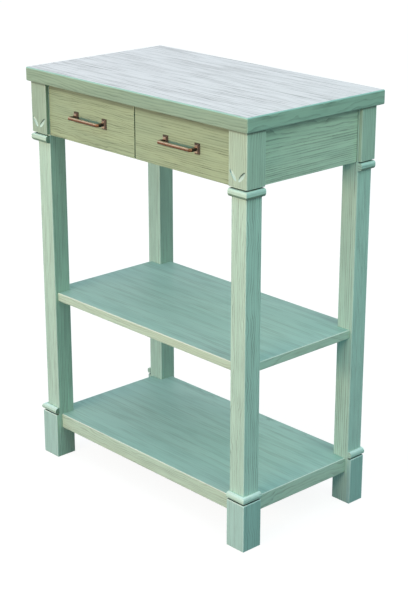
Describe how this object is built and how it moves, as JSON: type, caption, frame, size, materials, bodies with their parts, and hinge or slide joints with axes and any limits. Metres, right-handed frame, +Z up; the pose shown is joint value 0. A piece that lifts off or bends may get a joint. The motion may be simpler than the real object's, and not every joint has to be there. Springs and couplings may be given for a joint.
{
  "type": "waiter service station",
  "caption": "Tall stained-wood service side table: drawers with bar pulls under a thick top, open shelves between square legs with moulded heads and feet.",
  "frame": {"origin": "centre of the overall box, pulls included, on the floor plane under the feet", "axes": "+Z up; -Y towards the user, the way the drawers open; +X to the right when facing the drawers"},
  "size_m": [0.708, 0.408, 0.94],
  "materials": {
    "green_stain": "mint-green stained open-grain hardwood under satin lacquer",
    "drawer_stain": "sage-green stained open-grain hardwood, grain level, under satin lacquer",
    "top_wash": "pale grey-white wash over green-stained hardwood, satin lacquer",
    "bare_wood": "planed and clear-oiled, unstained",
    "plywood": "sanded thin plywood",
    "aged_copper": "antique copper, dark in the hollows and rubbed bright on the arrises",
    "zinc_steel": "bright zinc plate"
  },
  "bodies": {
    "root": {"top_panel": "top_wash", "shelf_middle": "green_stain", "shelf_lower": "green_stain", "post_front_right": "green_stain", "post_front_left": "green_stain", "head_block_front_right": "green_stain", "head_block_front_left": "green_stain", "collar_front_right": "green_stain", "collar_front_left": "green_stain", "foot_bead_front_right": "green_stain", "foot_bead_front_left": "green_stain", "foot_block_front_right": "green_stain", "foot_block_front_left": "green_stain", "post_back_right": "green_stain", "post_back_left": "green_stain", "head_block_back_right": "green_stain", "head_block_back_left": "green_stain", "collar_back_right": "green_stain", "collar_back_left": "green_stain", "foot_bead_back_right": "green_stain", "foot_bead_back_left": "green_stain", "foot_block_back_right": "green_stain", "foot_block_back_left": "green_stain", "apron_right": "green_stain", "apron_left": "green_stain", "apron_back": "green_stain", "front_rail_upper": "green_stain", "front_rail_lower": "green_stain", "top_button_front_right": "bare_wood", "top_button_front_left": "bare_wood", "top_button_back_right": "bare_wood", "top_button_back_left": "bare_wood", "drawer_partition": "bare_wood", "runner_outer_right": "bare_wood", "runner_outer_left": "bare_wood", "runner_inner_right": "bare_wood", "runner_inner_left": "bare_wood"},
    "drawer_right": {"drawer_front_right": "drawer_stain", "drawer_side_outer_right": "bare_wood", "drawer_side_inner_right": "bare_wood", "drawer_back_right": "bare_wood", "drawer_bottom_right": "plywood", "drawer_stop_right": "bare_wood", "pull_handle_right": "aged_copper", "pull_plate_outer_right": "aged_copper", "pull_plate_inner_right": "aged_copper", "pull_screw_outer_right": "zinc_steel", "pull_screw_inner_right": "zinc_steel"},
    "drawer_left": {"drawer_front_left": "drawer_stain", "drawer_side_outer_left": "bare_wood", "drawer_side_inner_left": "bare_wood", "drawer_back_left": "bare_wood", "drawer_bottom_left": "plywood", "drawer_stop_left": "bare_wood", "pull_handle_left": "aged_copper", "pull_plate_outer_left": "aged_copper", "pull_plate_inner_left": "aged_copper", "pull_screw_outer_left": "zinc_steel", "pull_screw_inner_left": "zinc_steel"}
  },
  "joints": [
    {"name": "drawer_right_slide", "type": "slide", "parent": "root", "child": "drawer_right", "axis": [0, -1, 0], "range_m": [0, 0.25]},
    {"name": "drawer_left_slide", "type": "slide", "parent": "root", "child": "drawer_left", "axis": [0, -1, 0], "range_m": [0, 0.25]}
  ]
}
